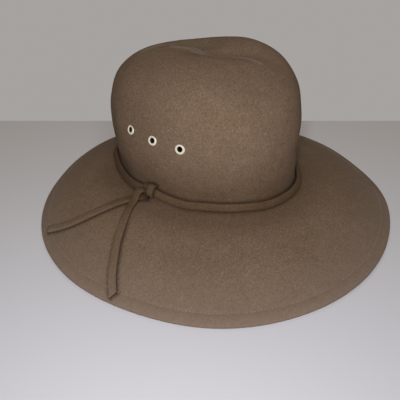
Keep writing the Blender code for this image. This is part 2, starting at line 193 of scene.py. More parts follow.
def plain_felt(turn, station):
    """Outside of the felt before it is dented, at a turn in radians and a station."""
    turn, station = np.broadcast_arrays(np.asarray(turn, float), np.asarray(station, float))
    crown, brim = CROWN_CURVE(np.clip(station, 0, 1)), BRIM_CURVE(np.clip(station - 1, 0, 1))
    across, outward, up = np.where(station <= 1, crown, brim)
    way = np.stack([np.cos(turn), np.sin(turn)], -1)
    head = across[..., None] * way * (np.array([HEAD_WIDTH, HEAD_LENGTH]) / 2 + FELT)
    head = head + np.array([HEAD_ASIDE, HEAD_SETBACK])
    out = 1 + EDGE_CURVE(np.degrees(turn)).out[..., None]
    edge = out * way * (np.array([BRIM_BREADTH, BRIM_LENGTH]) / 2 - FELT)
    plan = head * (1 - outward[..., None]) + edge * outward[..., None]
    height = BRIM_DROP + np.where(up > 0, up * CROWN_HEIGHT, up * (BRIM_DROP - EDGE_TOP))
    return np.concatenate([plan, height[..., None]], -1)


def normals(surface, turn, station):
    """Outward unit normals of a surface function, and the directions round and down it."""
    turn, station = np.broadcast_arrays(np.asarray(turn, float), np.asarray(station, float))
    station = np.maximum(station, SLOPE_STEP)
    down = surface(turn, np.minimum(station + SLOPE_STEP, 2)) - surface(turn, station - SLOPE_STEP)
    level = surface(turn + SLOPE_STEP, station) - surface(turn - SLOPE_STEP, station)
    down /= np.linalg.norm(down, axis=-1, keepdims=True)
    level /= np.linalg.norm(level, axis=-1, keepdims=True)
    out = np.cross(down, level)
    return out / np.linalg.norm(out, axis=-1, keepdims=True), level, down


def dent_place(dent):
    """A dent's middle on the felt and its long direction."""
    at = np.radians(dent.azimuth)
    _, level, down = normals(plain_felt, at, dent.station)
    axis = level * np.cos(np.radians(dent.tilt)) - down * np.sin(np.radians(dent.tilt))
    return dent, plain_felt(at, dent.station), axis


DENT_PLACES = [dent_place(dent) for dent in DENTS.values()]


def felt(turn, station):
    """Outside of the felt with its dents."""
    points = plain_felt(turn, station)
    push = np.zeros(points.shape[:-1])
    for dent, middle, axis in DENT_PLACES:
        offset = points - middle
        along = offset @ axis
        aside = np.linalg.norm(offset - along[..., None] * axis, axis=-1)
        far = np.hypot(along / (dent.long * CROWN_HEIGHT), aside / (dent.wide * CROWN_HEIGHT))
        push += dent.deep * CROWN_HEIGHT * np.exp(-(far**2))
    out, _, _ = normals(plain_felt, turn, station)
    return points - push[..., None] * out


def uneven(points, size, depth):
    """Heights of gentle waves of a size and depth at each of the points."""
    return np.array([noise.noise(Vector(point) / size) for point in points]) * depth


def add_piece(name, vertices, faces):
    """A smooth-shaded mesh object whose faces all point outward."""
    mesh = bpy.data.meshes.new(name)
    mesh.from_pydata([tuple(vertex) for vertex in vertices], [], faces)
    builder = bmesh.new()
    builder.from_mesh(mesh)
    bmesh.ops.recalc_face_normals(builder, faces=builder.faces[:])
    builder.to_mesh(mesh)
    builder.free()
    mesh.shade_smooth()
    piece = bpy.data.objects.new(name, mesh)
    bpy.context.scene.collection.objects.link(piece)
    return piece


def lofted(rings, start=None, end=None):
    """Vertices and faces through rings of points, with a point or a flat face at each end."""
    count = len(rings[0])
    vertices = list(np.concatenate(rings))
    faces = []
    for first in range(0, len(vertices) - count, count):
        for i in range(count):
            j = (i + 1) % count
            faces.append((first + i, first + j, first + count + j, first + count + i))
    for first, pole in ((0, start), (len(vertices) - count, end)):
        ring = [first + i for i in range(count)]
        if pole is None:
            faces.append(tuple(ring))
        else:
            vertices.append(pole)
            tip = len(vertices) - 1
            faces += [(ring[i], ring[(i + 1) % count], tip) for i in range(count)]
    return vertices, faces


# Plan points of the fine ridges that folding has left in the crown's top.
RIDGES = (
    (
        (-0.021, 0.073),
        (-0.011, 0.068),
        (0.001, 0.059),
        (0.008, 0.043),
        (0.007, 0.026),
        (0.000, 0.009),
        (-0.003, -0.006),
        (0.006, -0.016),
        (0.011, -0.029),
        (0.011, -0.042),
    ),
    (
        (-0.007, 0.047),
        (0.002, 0.032),
        (-0.001, 0.014),
    ),
)
RIDGE_WIDTH = 0.0026
RIDGE_HEIGHT = 0.0010
RIDGES_ABOVE = 0.6  # the share of CROWN_HEIGHT above which they are


def ridge_at(points):
    """How much of a ridge each point of the crown's top is, from 0 to 1."""
    nearest = np.full(len(points), 1.0)
    plan = points[:, :2]
    for line in RIDGES:
        line = np.array(line)
        for start, end in zip(line[:-1], line[1:]):
            run = end - start
            share = np.clip((plan - start) @ run / (run @ run), 0, 1)
            away = np.linalg.norm(plan - start - share[:, None] * run, axis=1)
            nearest = np.minimum(nearest, away)
    on_top = points[:, 2] > BRIM_DROP + RIDGES_ABOVE * CROWN_HEIGHT
    return on_top * np.exp(-((nearest / RIDGE_WIDTH) ** 2))


turn = np.arange(COLUMNS) * 2 * np.pi / COLUMNS
brim_width = np.linalg.norm(plain_felt(turn, 2.0) - plain_felt(turn, 1.0), axis=-1)
hem = 2 - HEM_WIDTH / brim_width
hem_top = 2 - HEM_ROWS_FROM * HEM_WIDTH / brim_width
crown_stations = [np.full(COLUMNS, at) for at in np.arange(1, CROWN_ROWS + 1) / CROWN_ROWS]
brim_stations = [1 + (hem_top - 1) * share for share in np.arange(1, BRIM_ROWS + 1) / BRIM_ROWS]
hem_stations = [hem_top + (2 - hem_top) * share for share in np.arange(1, HEM_ROWS) / HEM_ROWS]

outside, ridge_highlights = [], []
for at in crown_stations + brim_stations + hem_stations:
    points = felt(turn, at)
    from_edge = (2 - at) * brim_width
    relief = uneven(points, UNEVEN_SIZE, UNEVEN_DEPTH) + uneven(points, GRAIN_SIZE, GRAIN_DEPTH)
    relief *= np.clip(from_edge / HEM_WIDTH, 0, 1)
    relief -= SEAM_GROOVE * np.exp(-(((from_edge - HEM_WIDTH) / SEAM_GROOVE_WIDTH) ** 2))
    puff = (from_edge / HEM_WIDTH - HEM_PUFF_MIDDLE) / HEM_PUFF_WIDTH
    relief += HEM_PUFF * np.exp(-(puff**2))
    # Each ridge is raised a little and is also given a painted highlight in the felt's colour.
    ridge = ridge_at(points)
    relief += RIDGE_HEIGHT * ridge
    ridge_highlights.append(ridge)
    outside.append(points + relief[:, None] * normals(felt, turn, at)[0])

edge = felt(turn, 2.0)
out, _, down = normals(felt, turn, 2.0 - SLOPE_STEP)
middle = edge - FELT * out
fold = [
    middle + FELT * (np.cos(angle) * out + np.sin(angle) * down)
    for angle in np.linspace(0, np.pi, FOLD_STEPS + 1)
]
under_hem = [
    felt(turn, at) - 2 * FELT * normals(felt, turn, at)[0]
    for at in [2 - (2 - hem) * share for share in UNDER_HEM_ROWS]
]
brim_shares = np.arange(0, INSIDE_BRIM_ROWS) / INSIDE_BRIM_ROWS
crown_shares = np.arange(0, INSIDE_CROWN_ROWS) / INSIDE_CROWN_ROWS
inside_stations = [hem - (hem - 1) * share for share in brim_shares]
inside_stations += [np.full(COLUMNS, 1 - share) for share in crown_shares]
inside = [felt(turn, at) - FELT * normals(felt, turn, at)[0] for at in inside_stations]
rings = outside + fold + under_hem + inside
for ring in rings:
    ring[:, 2] = np.maximum(ring[:, 2], 0.0)
top = felt(0.0, 0.0)
felt_body = add_piece("felt_body_blocked", *lofted(rings, top, top - [0, 0, FELT]))


def mark_points(piece, name, shares):
    """Keep a share from 0 to 1 at each of a piece's first points, for its material to read."""
    mark = piece.data.attributes.new(name, "FLOAT", "POINT")
    shares = np.asarray(shares, float)
    mark.data.foreach_set("value", np.pad(shares, (0, len(piece.data.vertices) - len(shares))))


def skin_of(piece, limit=None):
    """A piece's surface to measure from, or only the part of it below a vertex number."""
    mesh = piece.data
    faces = [tuple(face.vertices) for face in mesh.polygons]
    if limit:
        faces = [face for face in faces if max(face) < limit]
    return BVHTree.FromPolygons([vertex.co.copy() for vertex in mesh.vertices], faces)


# Painted highlight along the crown's ridges, for the felt's material to read.
mark_points(felt_body, "ridge_highlight", np.concatenate(ridge_highlights))
outer_points = COLUMNS * (len(outside) + 2)
skin = skin_of(felt_body, outer_points)


class Signal:
    """A shader socket that is added, multiplied and so on as in ordinary arithmetic."""

    def __init__(self, tree, socket=None):
        self.tree = tree
        self.socket = socket

    def node(self, kind, settings=None, inputs=None, output=0):
        made = self.tree.nodes.new("ShaderNode" + kind)
        for name, value in (settings or {}).items():
            setattr(made, name, value)
        for name, value in (inputs or {}).items():
            if isinstance(value, Signal):
                self.tree.links.new(value.socket, made.inputs[name])
            else:
                made.inputs[name].default_value = value
        return Signal(self.tree, made.outputs[output])

    def math(self, operation, *values):
        return self.node("Math", {"operation": operation}, dict(enumerate(values)))

    def __add__(self, other):
        return self.math("ADD", self, other)

    __radd__ = __add__

    def __mul__(self, other):
        return self.math("MULTIPLY", self, other)

    __rmul__ = __mul__

    def mixed(self, low, high):
        """A colour between two others, with this signal as the share of the second."""
        return self.node("Mix", {"data_type": "RGBA"}, {0: self, 6: low, 7: high}, 2)

    def between(self, low, high):
        """This signal's share of the way from one value to another, held to 0 and 1."""
        return self.node(
            "MapRange",
            {"interpolation_type": "SMOOTHSTEP"},
            {"Value": self, "From Min": low, "From Max": high},
        )

    def ramp(self, low, high):
        """The same share with a straight rise."""
        return self.node("MapRange", inputs={"Value": self, "From Min": low, "From Max": high})

    def tinted(self, other):
        """This colour multiplied by another."""
        settings = {"data_type": "RGBA", "blend_type": "MULTIPLY"}
        return self.node("Mix", settings, {0: 1.0, 6: self, 7: other}, 2)


def colour(*levels):
    return (*levels, 1.0)


def set_finish(shader, **finish):
    """Fixed values of a shader's inputs, with underscores for the spaces in their names."""
    for name, value in finish.items():
        shader.inputs[name.replace("_", " ")].default_value = value


PAINTED_SHADE_FROM = 0.002  # heights from the tie line between which the felt has painted shade, darker nearer the tie
PAINTED_SHADE_ABOVE = 0.055
PAINTED_SHADE_BELOW = 0.009
PAINTED_SHADE_FADE = 0.55  # under 1 the painted shade fades soon beside the tie and slowly far from it
HEIGHT_WANDER = 0.003  # how much the edges of these zones wander
NAP_TO_MAIN = (0.62, 0.92)  # where the nap's signal turns dark to main, and main to light
NAP_TO_LIGHT = (0.86, 1.18)
# A paler, greyer felt tone: a painted highlight on the crown's ridges, and partly painted light,
# partly the felt's own paler tone at the hem and low on the brim.
PALE_HIGHLIGHT_TONE = colour(0.205, 0.160, 0.136)
RIDGE_HIGHLIGHT = 0.45
HEM_PALING = 0.14
HEM_PALING_HEIGHTS = (EDGE_TOP + 0.0045, EDGE_TOP + 0.0015)
LOW_BRIM_PALING = 0.26
LOW_BRIM_HEIGHTS = (0.026, 0.008)
CONTACT_SHADOW = colour(0.012, 0.007, 0.004)  # painted shadow in the narrow gaps beside the tie
NAP_HEIGHT = 0.0006


def felt_material(name, dark, main, light, painted_shade, bump):
    """Napped wool felt: blotches where the nap lies differently, and a fine grain of fibres."""
    made = bpy.data.materials.new(name)
    made.use_nodes = True
    tree = made.node_tree
    shader = tree.nodes["Principled BSDF"]
    place = Signal(tree).node("TexCoord", output="Object")

    def wool(scale, detail, roughness, distortion=0.0):
        return place.node(
            "TexNoise",
            inputs={
                "Vector": place,
                "Scale": scale,
                "Detail": detail,
                "Roughness": roughness,
                "Distortion": distortion,
            },
        )

    broad = wool(scale=26, detail=3, roughness=0.5)
    blotch = wool(scale=140, detail=4, roughness=0.6, distortion=0.4)
    grain = wool(scale=640, detail=4, roughness=0.7, distortion=0.6)
    hair = wool(scale=1700, detail=3, roughness=0.7, distortion=1.2)
    nap = 0.20 * broad + 0.20 * blotch + 0.95 * grain + 0.40 * hair
    fresh = nap.between(*NAP_TO_MAIN).mixed(dark, main)
    fresh = nap.between(*NAP_TO_LIGHT).mixed(fresh, light)

    height_up = place.node("SeparateXYZ", inputs={"Vector": place}, output="Z")
    height_up = height_up + HEIGHT_WANDER * broad
    # Painted shade: the felt is darker round the foot of the crown, above and below the tie line.
    above = height_up.ramp(BRIM_DROP + PAINTED_SHADE_FROM, BRIM_DROP + PAINTED_SHADE_ABOVE)
    below = height_up.ramp(BRIM_DROP + PAINTED_SHADE_FROM, BRIM_DROP - PAINTED_SHADE_BELOW)
    clear = above.math("POWER", above.math("MAXIMUM", above, below), PAINTED_SHADE_FADE)
    base = fresh.tinted(clear.mixed(painted_shade, colour(1, 1, 1)))

    # The hem and the lower brim turn paler and greyer: partly painted light, partly the felt's own
    # tone.
    hem_paling = HEM_PALING * height_up.between(*HEM_PALING_HEIGHTS)
    low_brim_paling = LOW_BRIM_PALING * height_up.between(*LOW_BRIM_HEIGHTS)
    base = (hem_paling + low_brim_paling).mixed(base, PALE_HIGHLIGHT_TONE)
    # Painted highlight along the crown's ridges.
    ridge_lit = place.node("Attribute", {"attribute_name": "ridge_highlight"}, output="Fac")
    base = (RIDGE_HIGHLIGHT * ridge_lit).mixed(base, PALE_HIGHLIGHT_TONE)
    # Painted shadow in the narrow gaps beside the tie.
    in_gap = place.node("Attribute", {"attribute_name": "shade"}, output="Fac")
    base = in_gap.mixed(base, CONTACT_SHADOW)
    tree.links.new(base.socket, shader.inputs["Base Color"])

    height = 0.25 * blotch + 0.8 * grain + 0.5 * hair
    fibres = {"Strength": bump, "Distance": NAP_HEIGHT, "Height": height}
    tree.links.new(height.node("Bump", inputs=fibres).socket, shader.inputs["Normal"])
    set_finish(
        shader,
        Roughness=0.95,
        Specular_IOR_Level=0.06,
        Sheen_Weight=0.02,
        Sheen_Roughness=0.5,
        Sheen_Tint=colour(0.80, 0.62, 0.48),
    )
    return made


felt_body.data.materials.append(
    felt_material(
        "wool_felt",
        dark=colour(0.092, 0.060, 0.038),
        main=colour(0.143, 0.096, 0.065),
        light=colour(0.203, 0.147, 0.106),
        painted_shade=colour(0.46, 0.40, 0.33),
        bump=0.6,
    )
)
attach(felt_body, "root")
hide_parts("felt_body")

# The hem's seam is one row of fine beige thread through the brim and its folded edge. It is
# seen as short stitches on the brim's upper side and again on the folded edge under it.

STITCH_PITCH = 0.0030
STITCH_LENGTH = 0.0016
STITCH_RADIUS = 0.00024
STITCH_SIDES = 6
STITCH_STEPS = 5
STITCH_DIP = 0.8  # how far its ends sink, and how thick they still are
STITCH_END = 0.08
STITCH_PROUD = 0.6  # how much of its radius stands out of the groove
SEAM_STEPS = 2000
THREAD_DARK = colour(0.15, 0.115, 0.088)
THREAD_LIGHT = colour(0.34, 0.28, 0.225)

# from_edge is a share of HEM_WIDTH, depth is measured from the felt's outside, and sink is
# the way that the stitches' ends go in: 1 on the upper side and -1 on the folded edge.
Seam = namedtuple("Seam", "from_edge depth sink")
SEAMS = {
    "hem_seam_top": Seam(1.00, SEAM_GROOVE - STITCH_PROUD * STITCH_RADIUS, 1),
    "hem_seam_under": Seam(0.94, 2 * FELT, -1),
}


def seam(name, row):
    """A row of stitches round the brim, each a short bar with rounded ends."""
    vertices, faces = [], []
    steps = np.linspace(0, 2 * np.pi, SEAM_STEPS)
    from_edge = HEM_WIDTH * row.from_edge
    at = 2 - from_edge / np.interp(steps, turn, brim_width, period=2 * np.pi)
    path = felt(steps, at)
    lengths = np.concatenate([[0.0], np.cumsum(np.linalg.norm(np.diff(path, axis=0), axis=1))])
    count = int(lengths[-1] / STITCH_PITCH)
    share = np.linspace(-1, 1, STITCH_STEPS)
    middles = (np.arange(count) + 0.5) * lengths[-1] / count
    turns = np.interp(middles[:, None] + share * STITCH_LENGTH / 2, lengths, steps)
    stations = np.interp(turns, steps, at)
    outs, _, downs = normals(felt, turns, stations)
    dip = STITCH_RADIUS * STITCH_DIP * share**2 * row.sink
    centres = felt(turns, stations) - (row.depth + dip)[:, None] * outs
    size = STITCH_RADIUS * np.sqrt(np.maximum(1 - np.abs(share) ** 3, STITCH_END))[:, None, None]
    angles = (np.arange(STITCH_SIDES) * 2 * np.pi / STITCH_SIDES)[:, None]
    bars = centres[:, :, None] + size * (
        np.cos(angles) * outs[:, :, None] + np.sin(angles) * downs[:, :, None]
    )
    for bar in bars:
        bar_vertices, bar_faces = lofted(bar)
        faces += [tuple(index + len(vertices) for index in face) for face in bar_faces]
        vertices += bar_vertices
    return add_piece(name, vertices, faces)


thread = bpy.data.materials.new("seam_thread")
thread.use_nodes = True
thread_shader = thread.node_tree.nodes["Principled BSDF"]
twist = Signal(thread.node_tree).node("TexCoord", output="Object")
twist = twist.node("TexNoise", inputs={"Vector": twist, "Scale": 2500.0, "Detail": 2.0})
thread_colour = twist.between(0.3, 0.7).mixed(THREAD_DARK, THREAD_LIGHT)
thread.node_tree.links.new(thread_colour.socket, thread_shader.inputs["Base Color"])
set_finish(thread_shader, Roughness=0.8)

for seam_name, row in SEAMS.items():
    stitches = seam(seam_name, row)
    stitches.data.materials.append(thread)
    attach(stitches, "root")

# The tie is one strip of the same felt, folded to 7.3 by 3.4 mm. It goes round the foot of
# the crown and is knotted over itself on the wearer's right, which leaves two loose tails.

TIE_WIDTH = 0.0073
TIE_THICKNESS = 0.0034
TIE_FULLNESS = 4.0  # 2 would make its section an oval, and much more a sharp oblong
TIE_LEAN = 28.0  # how far the band leans back on the crown, in degrees
SLACK_FALL = 0.2  # how much lower the band lies for each step off the crown
BAND_TUCK = 0.003  # how far each of its ends reaches under the knot
KNOT_AZIMUTH = 182.7
KNOT_LENGTH = 0.0125
KNOT_HEIGHT = 0.0120
KNOT_DEPTH = 0.0070
REST_GAP = 0.0001  # between the strip and the felt that it lies on
BAND_STEPS = 240
TAIL_STEPS = 90
SETTLE_STEPS = 40
TAUT_ROUNDS = 12
STRIP_POINTS = 24
END_SHADE = 0.75  # how dark the band gets beside the knot, and from how far away
END_SHADE_REACH = 0.0022

# How far the knot draws the band up the crown, as a share of TIE_WIDTH.
Rise = namedtuple("Rise", "azimuth rise")
TIE_RISE = (
    Rise(60, 0.00),
    Rise(150, 0.00),
    Rise(168, 0.06),
    Rise(178, 0.36),
    Rise(184, 0.46),
    Rise(190, 0.40),
    Rise(199, 0.22),
    Rise(212, 0.04),
    Rise(230, 0.00),
    Rise(320, 0.00),
)

# How far the band hangs off the crown on the wearer's left, as a share of TIE_THICKNESS.
Slack = namedtuple("Slack", "azimuth off")
TIE_SLACK = (
    Slack(20, 0.00),
    Slack(60, 0.00),
    Slack(200, 0.00),
    Slack(225, 0.12),
    Slack(262, 0.20),
    Slack(292, 0.14),
    Slack(308, 0.12),
    Slack(325, 1.10),
    Slack(340, 2.20),
    Slack(355, 1.20),
)

SLACK_CURVE = smooth(TIE_SLACK, [row.azimuth for row in TIE_SLACK], period=360)
RISE_CURVE = smooth(TIE_RISE, [row.azimuth for row in TIE_RISE], period=360)
UP = np.array([0.0, 0.0, 1.0])


def strip_section(centre, across, up, width, thickness, fullness=TIE_FULLNESS):
    """The folded strip's section: a flat oblong with soft corners."""
    angles = (np.arange(STRIP_POINTS) + 0.5) * 2 * np.pi / STRIP_POINTS
    x, y = np.cos(angles), np.sin(angles)
    size = (np.abs(x) ** fullness + np.abs(y) ** fullness) ** (-1 / fullness)
    aside = np.outer(x * size * width / 2, across)
    return centre + aside + np.outer(y * size * thickness / 2, up)


def deepest(points, skins):
    """The most that any of the points lacks of the gap to the skins, and the way out."""
    worst, way = -1.0, None
    for tree in skins:
        for point in points:
            place, out, _, distance = tree.find_nearest(Vector(point))
            inside = (Vector(point) - place).dot(out) < 0
            lack = REST_GAP + (distance if inside else -distance)
            if lack > worst:
                worst, way = lack, out
    return worst, np.array(way)


def tie_line(turn):
    """A point of the tie line and the direction out of the crown there."""
    shape = np.array([HEAD_WIDTH, HEAD_LENGTH]) / 2 + FELT
    way = np.array([np.cos(turn), np.sin(turn)])
    out = np.array([*(way / shape), 0.0])
    plan = way * shape + [HEAD_ASIDE, HEAD_SETBACK]
    return np.array([*plan, BRIM_DROP]), out / np.linalg.norm(out)


def turn_for(distance, azimuth):
    """The change of turn that moves a point this far round the tie line."""
    shape = np.array([HEAD_LENGTH, HEAD_WIDTH]) / 2 + FELT
    way = np.array([np.cos(np.radians(azimuth)), np.sin(np.radians(azimuth))])
    return distance / np.linalg.norm(way * shape)


def corner_section(turn, place, width, thickness, fullness=TIE_FULLNESS):
    """A section that leans back on the crown, at a place out from the tie line and above it."""
    middle, out = tie_line(turn)
    lean = np.radians(TIE_LEAN)
    across = np.cos(lean) * UP - np.sin(lean) * out
    face = np.cos(lean) * out + np.sin(lean) * UP
    centre = middle + place[0] * out + place[1] * UP
    return strip_section(centre, across, face, width, thickness, fullness)


def seated_in_corner(turn, width, thickness):
    """Where a strip rests between crown and brim once the knot has drawn it up."""
    _, out = tie_line(turn)
    rise = RISE_CURVE(np.degrees(turn)).rise * TIE_WIDTH
    slack = max(SLACK_CURVE(np.degrees(turn)).off, 0.0) * TIE_THICKNESS
    place = np.zeros(2)
    for step in ([0.0, 0.0], [0.0, rise], [slack, -SLACK_FALL * slack]):
        place += step
        for _ in range(SETTLE_STEPS):
            lack, way = deepest(corner_section(turn, place, width, thickness), [skin])
            if lack <= 0:
                break
            place += lack * np.array([way @ out, way @ UP])
    return place


def taut(places):
    """A strip's places, drawn tight so that it bridges every hollow."""
    for _ in range(TAUT_ROUNDS):
        places[1:-1] = np.maximum(places[1:-1], (places[:-2] + places[2:]) / 2)
    return places


# The tie's felt has darker colours than the body's, though it is the same felt: painted shade on
# the whole tie.
tie_felt = felt_material(
    "tie_felt",
    dark=colour(0.085, 0.056, 0.036),
    main=colour(0.115, 0.075, 0.048),
    light=colour(0.166, 0.118, 0.081),
    painted_shade=colour(0.56, 0.50, 0.43),
    bump=0.5,
)

knot = np.radians(KNOT_AZIMUTH)
knot_side = turn_for(KNOT_LENGTH / 2 - BAND_TUCK, KNOT_AZIMUTH)
band_turns = np.linspace(knot + knot_side, knot + 2 * np.pi - knot_side, BAND_STEPS + 1)
band_places = [seated_in_corner(at, TIE_WIDTH, TIE_THICKNESS) for at in band_turns]
band_rings = [
    corner_section(at, place, TIE_WIDTH, TIE_THICKNESS)
    for at, place in zip(band_turns, taut(np.array(band_places)))
]
band = add_piece("tie_band_strip", *lofted(band_rings))
band_steps = np.diff([ring[0] for ring in band_rings], axis=0)
band_run = np.concatenate([[0], np.cumsum(np.linalg.norm(band_steps, axis=1))])
from_end = np.minimum(band_run, band_run[-1] - band_run)
band_shades = END_SHADE * np.exp(-((from_end / END_SHADE_REACH) ** 2))
mark_points(band, "shade", np.repeat(band_shades, STRIP_POINTS))
band.data.materials.append(tie_felt)
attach(band, "root")
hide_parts("tie_band")

# The knot is the strip wrapped once over the two strands that it holds. It is drawn as one
# soft swelling of felt with a crease where the wrap's edge lies on the strands.

# along runs from -1 to 1 over KNOT_LENGTH, and swell is a share of KNOT_HEIGHT and KNOT_DEPTH.
Knot = namedtuple("Knot", "along swell")
KNOT = (
    Knot(-1.00, 0.50),
    Knot(-0.96, 0.66),
    Knot(-0.85, 0.80),
    Knot(-0.60, 0.88),
    Knot(-0.36, 0.88),
    Knot(-0.24, 0.83),
    Knot(-0.12, 0.92),
    Knot(0.15, 1.02),
    Knot(0.60, 1.04),
    Knot(0.86, 1.07),
    Knot(0.95, 1.05),
    Knot(1.00, 0.86),
)
KNOT_STEPS = 72
KNOT_FULLNESS = 2.8
KNOT_CREASE = -0.24  # along the knot, where the wrap's edge lies on the strands
KNOT_CREASE_WIDTH = 0.07
KNOT_CREASE_SHADE = 0.55
KNOT_BEHIND_SHADE = 0.30
KNOT_END = 0.985
KNOT_END_SHADE = 0.5

knot_curve = smooth(KNOT, [row.along for row in KNOT])
knot_half = turn_for(KNOT_LENGTH / 2, KNOT_AZIMUTH)
knot_place = seated_in_corner(knot, KNOT_HEIGHT, KNOT_DEPTH)
knot_alongs = np.sin(np.linspace(-np.pi / 2, np.pi / 2, KNOT_STEPS))
knot_rings = []
for along in knot_alongs:
    swell = knot_curve(along).swell
    at, height, depth = knot + along * knot_half, KNOT_HEIGHT * swell, KNOT_DEPTH * swell
    knot_rings.append(corner_section(at, knot_place, height, depth, KNOT_FULLNESS))
knot_wrap = add_piece("tie_knot_wrap", *lofted(knot_rings))
from_crease = (knot_alongs - KNOT_CREASE) / KNOT_CREASE_WIDTH
knot_shades = KNOT_CREASE_SHADE * np.exp(-(from_crease**2))
knot_shades += KNOT_BEHIND_SHADE * (knot_alongs < KNOT_CREASE)
knot_shades += KNOT_END_SHADE * (np.abs(knot_alongs) > KNOT_END)
mark_points(knot_wrap, "shade", np.repeat(knot_shades, STRIP_POINTS))
knot_wrap.data.materials.append(tie_felt)
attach(knot_wrap, "root")
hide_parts("tie_knot")

# The tails are the strip's two loose ends. The side one lies back over the brim, and the
# front one stands off the brim beside the knot, crosses it and is cut off on a slant.

# outward is a share of the brim's width, and lift off the brim a share of TIE_THICKNESS.
Lay = namedtuple("Lay", "azimuth outward lift")
SIDE_TAIL = (
    Lay(181.6, 0.060, 0.1),
    Lay(178.6, 0.080, 0.1),
    Lay(176.0, 0.105, 0.1),
    Lay(174.3, 0.145, 0.0),
    Lay(171.5, 0.215, 0.0),
    Lay(167.6, 0.345, 0.0),
    Lay(164.0, 0.500, 0.0),
    Lay(161.5, 0.630, 0.0),
    Lay(158.5, 0.770, 0.0),
    Lay(154.2, 0.932, 0.0),
)
SIDE_SLANT = 0.0
FRONT_TAIL = (
    Lay(182.4, 0.030, 1.6),
    Lay(179.8, 0.075, 2.1),
    Lay(178.4, 0.135, 1.8),
    Lay(178.2, 0.200, 1.3),
    Lay(178.5, 0.292, 0.7),
    Lay(180.3, 0.427, 0.2),
    Lay(182.4, 0.560, 0.0),
    Lay(184.8, 0.682, 0.0),
    Lay(187.0, 0.803, 0.0),
    Lay(189.2, 0.904, 0.0),
    Lay(190.7, 0.960, 0.0),
)
FRONT_SLANT = -0.5
NECK = 0.55  # the strip's share of its width where it leaves the knot, and how soon it widens
NECK_STEPS = 14
NECK_SHADE = 0.6
SLANT_STEPS = 3  # how many sections the slanting cut takes up
GAP_SHADE = 0.75  # how dark the painted shadow on the felt gets beside the tie, and from how far away
GAP_SHADE_REACH = 0.0019
TIE_ZONE = (BRIM_DROP - 0.034, BRIM_DROP + 0.022)  # the heights between which the tie lies


def build_tail(name, node, lay, slant, under):
    """A loose end of the strip, laid along its route on the skins under it."""
    rows = np.arange(len(lay))
    route = smooth(lay, rows)(np.linspace(0, rows[-1], TAIL_STEPS + 1))
    turns = np.radians(route.azimuth)
    stations = 1 + station_of(BRIM_CURVE, "outward", route.outward)
    ups = normals(felt, turns, stations)[0]
    centres = felt(turns, stations) + ups * TIE_THICKNESS / 2
    ways = np.gradient(centres, axis=0)
    ways /= np.linalg.norm(ways, axis=1, keepdims=True)
    sides = np.cross(ups, ways)
    lifts = np.zeros(len(centres))
    for i, (centre, side, up) in enumerate(zip(centres, sides, ups)):
        for _ in range(SETTLE_STEPS):
            laid = strip_section(centre + up * lifts[i], side, up, TIE_WIDTH, TIE_THICKNESS)
            lack, _ = deepest(laid, under)
            if lack <= 0:
                break
            lifts[i] += lack
    taut(lifts)
    lifts += route.lift * TIE_THICKNESS
    centres += ups * lifts[:, None]
    from_neck = np.arange(len(centres)) / NECK_STEPS
    widths = TIE_WIDTH * np.minimum(1, NECK + (1 - NECK) * from_neck)
    rings = [
        strip_section(centre, side, up, width, TIE_THICKNESS)
        for centre, side, up, width in zip(centres, sides, ups, widths)
    ]
    for i in range(-1, -1 - SLANT_STEPS, -1):
        lead = (rings[i] - centres[i]) @ sides[i] * slant * (1 + (i + 1) / SLANT_STEPS)
        rings[i] = rings[i] + lead[:, None] * ways[i]
    tail = add_piece(name, *lofted(rings))
    shades = NECK_SHADE * np.exp(-((2 * from_neck) ** 2))
    mark_points(tail, "shade", np.repeat(shades, STRIP_POINTS))
    tail.data.materials.append(tie_felt)
    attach(tail, "root")
    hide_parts(node)
    return skin_of(tail)


side_skin = build_tail("tie_tail_side_strip", "tie_tail_side", SIDE_TAIL, SIDE_SLANT, [skin])
front_skin = build_tail(
    "tie_tail_front_strip", "tie_tail_front", FRONT_TAIL, FRONT_SLANT, [skin, side_skin]
)

# Painted shadow on the felt wherever it lies close to the tie.
tie_skins = (skin_of(band), skin_of(knot_wrap), side_skin, front_skin)
felt_shades = np.zeros(outer_points)
for i in range(outer_points):
    point = felt_body.data.vertices[i].co
    if TIE_ZONE[0] < point.z < TIE_ZONE[1]:
        gap = min(tie.find_nearest(point)[3] for tie in tie_skins)
        felt_shades[i] = GAP_SHADE * np.exp(-((gap / GAP_SHADE_REACH) ** 2))
mark_points(felt_body, "shade", felt_shades)

# The eyelets are three rings of sheet metal, enamelled ivory, set through the crown wall and
# rolled over inside it. Each has a real hole in the felt behind it.

EYELETS = 3
EYELET_AZIMUTH = 185.0
EYELET_PITCH = 0.0278
EYELET_RISE = 0.0600  # of the middle one above the tie line
EYELET_SLANT = 0.0014  # how much lower each is than the one before it
EYELET_FLANGE = 0.0094
EYELET_BACK = 0.0082
EYELET_BARREL = 0.0060
EYELET_HOLE = 0.0047
EYELET_SHEET = 0.0006
EYELET_CROWNING = 0.0004
EYELET_NICK = 0.0001  # the small step at each of its rounded corners
EYELET_SIDES = 48
EYELET_SHARP = 50.0
EYELET_TIP = 0.20  # how much each tips up from the felt under it
PUNCH_LENGTH = 6 * FELT
ENAMEL_DARK = colour(0.50, 0.46, 0.36)
ENAMEL_LIGHT = colour(0.66, 0.62, 0.51)
# Painted shade: the barrels' inner faces are near black, for the dark holes.
BARREL_SHADE = colour(0.012, 0.010, 0.008)

